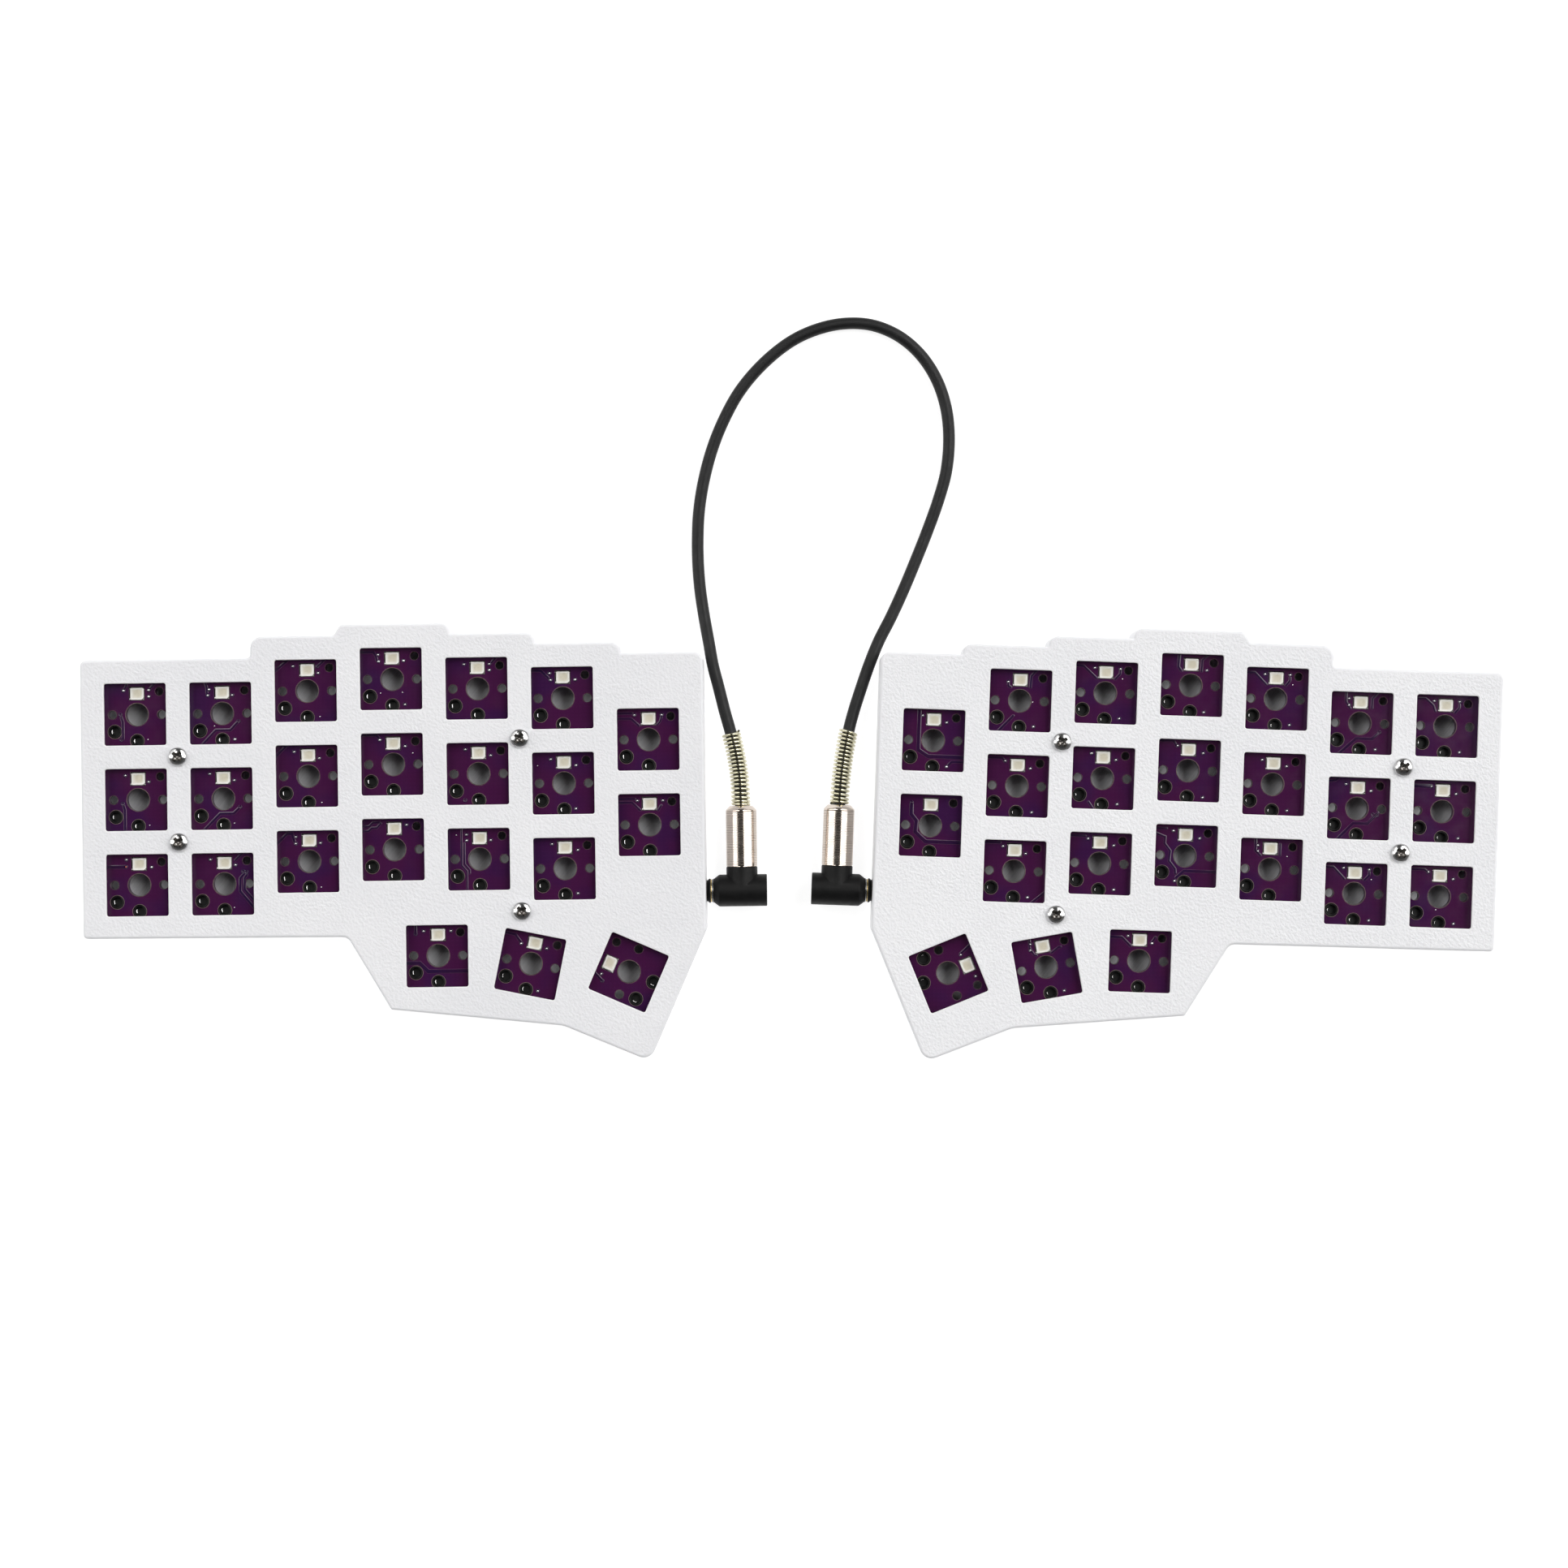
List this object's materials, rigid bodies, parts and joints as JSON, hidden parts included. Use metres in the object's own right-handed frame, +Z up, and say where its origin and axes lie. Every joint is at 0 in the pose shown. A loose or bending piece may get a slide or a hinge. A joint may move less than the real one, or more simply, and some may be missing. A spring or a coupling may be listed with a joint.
{
  "type": "split keyboard kit",
  "caption": "Ergonomic split keyboard kit: two mirrored white cases with staggered square switch openings over a purple board, joined by a short plug-in link cable.",
  "frame": {"origin": "on the desk under the middle of the box around the two cases", "axes": "+X from the left half to the right half, +Y to the back edge, +Z up"},
  "size_m": [0.3174, 0.1669, 0.0139],
  "materials": {
    "white_case": "fine moulded grain, satin",
    "cover_metal": "brushed, natural",
    "board_purple": "glossy lacquer over copper traces",
    "led_cream": "satin",
    "socket_black": "satin",
    "contact_tin": "bright tin",
    "contact_gold": "gold plated",
    "chip_black": "matt moulding",
    "can_steel": "satin",
    "button_dark": "satin",
    "button_pale": "satin",
    "standoff_brass": "turned",
    "screw_nickel": "bright nickel",
    "foot_rubber": "matt",
    "cord_black": "smooth satin",
    "plug_black": "semi-gloss",
    "sleeve_nickel": "fine turned ribs",
    "spring_zinc": "bright yellowish zinc"
  },
  "bodies": {
    "left_half": {"left_top_case": "white_case", "left_bottom_cover": "cover_metal", "left_circuit_board": "board_purple", "left_key_leds": "led_cream", "left_switch_sockets": "socket_black", "left_socket_contacts": "contact_tin", "left_key_diodes": "chip_black", "left_controller_chip": "chip_black", "left_flash_chip": "chip_black", "left_clock_crystal": "can_steel", "left_voltage_regulator": "chip_black", "left_usb_port_shell": "can_steel", "left_usb_port_tongue": "socket_black", "left_link_jack": "socket_black", "left_link_jack_contacts": "contact_gold", "left_button_bases": "can_steel", "left_standoffs": "standoff_brass", "left_top_screws": "screw_nickel", "left_bottom_screws": "screw_nickel", "left_rubber_feet": "foot_rubber"},
    "right_half": {"right_top_case": "white_case", "right_bottom_cover": "cover_metal", "right_circuit_board": "board_purple", "right_key_leds": "led_cream", "right_switch_sockets": "socket_black", "right_socket_contacts": "contact_tin", "right_key_diodes": "chip_black", "right_controller_chip": "chip_black", "right_flash_chip": "chip_black", "right_clock_crystal": "can_steel", "right_voltage_regulator": "chip_black", "right_usb_port_shell": "can_steel", "right_usb_port_tongue": "socket_black", "right_link_jack": "socket_black", "right_link_jack_contacts": "contact_gold", "right_button_bases": "can_steel", "right_standoffs": "standoff_brass", "right_top_screws": "screw_nickel", "right_bottom_screws": "screw_nickel", "right_rubber_feet": "foot_rubber"},
    "link_harness": {"link_cable": "cord_black", "left_plug_elbow": "plug_black", "left_plug_sleeve": "sleeve_nickel", "left_plug_spring": "spring_zinc", "left_plug_collar": "contact_gold", "left_plug_contacts": "contact_tin", "left_plug_insulators": "plug_black", "right_plug_elbow": "plug_black", "right_plug_sleeve": "sleeve_nickel", "right_plug_spring": "spring_zinc", "right_plug_collar": "contact_gold", "right_plug_contacts": "contact_tin", "right_plug_insulators": "plug_black"},
    "left_reset": {"left_reset_button": "button_dark"},
    "left_boot": {"left_boot_button": "button_pale"},
    "right_reset": {"right_reset_button": "button_dark"},
    "right_boot": {"right_boot_button": "button_pale"}
  },
  "joints": [
    {"name": "left_plug_pull", "type": "slide", "parent": "left_half", "child": "link_harness", "axis": [0.9999, 0.014, 0], "range_m": [0, 0.016]},
    {"name": "right_plug_pull", "type": "slide", "parent": "link_harness", "child": "right_half", "axis": [0.9994, -0.0349, 0], "range_m": [0, 0.016]},
    {"name": "left_reset_press", "type": "slide", "parent": "left_half", "child": "left_reset", "axis": [0, 0, 1], "range_m": [0, 0.00025], "stiffness_N_per_m": 2000},
    {"name": "left_boot_press", "type": "slide", "parent": "left_half", "child": "left_boot", "axis": [0, 0, 1], "range_m": [0, 0.00025], "stiffness_N_per_m": 2000},
    {"name": "right_reset_press", "type": "slide", "parent": "right_half", "child": "right_reset", "axis": [0, 0, 1], "range_m": [0, 0.00025], "stiffness_N_per_m": 2000},
    {"name": "right_boot_press", "type": "slide", "parent": "right_half", "child": "right_boot", "axis": [0, 0, 1], "range_m": [0, 0.00025], "stiffness_N_per_m": 2000}
  ]
}
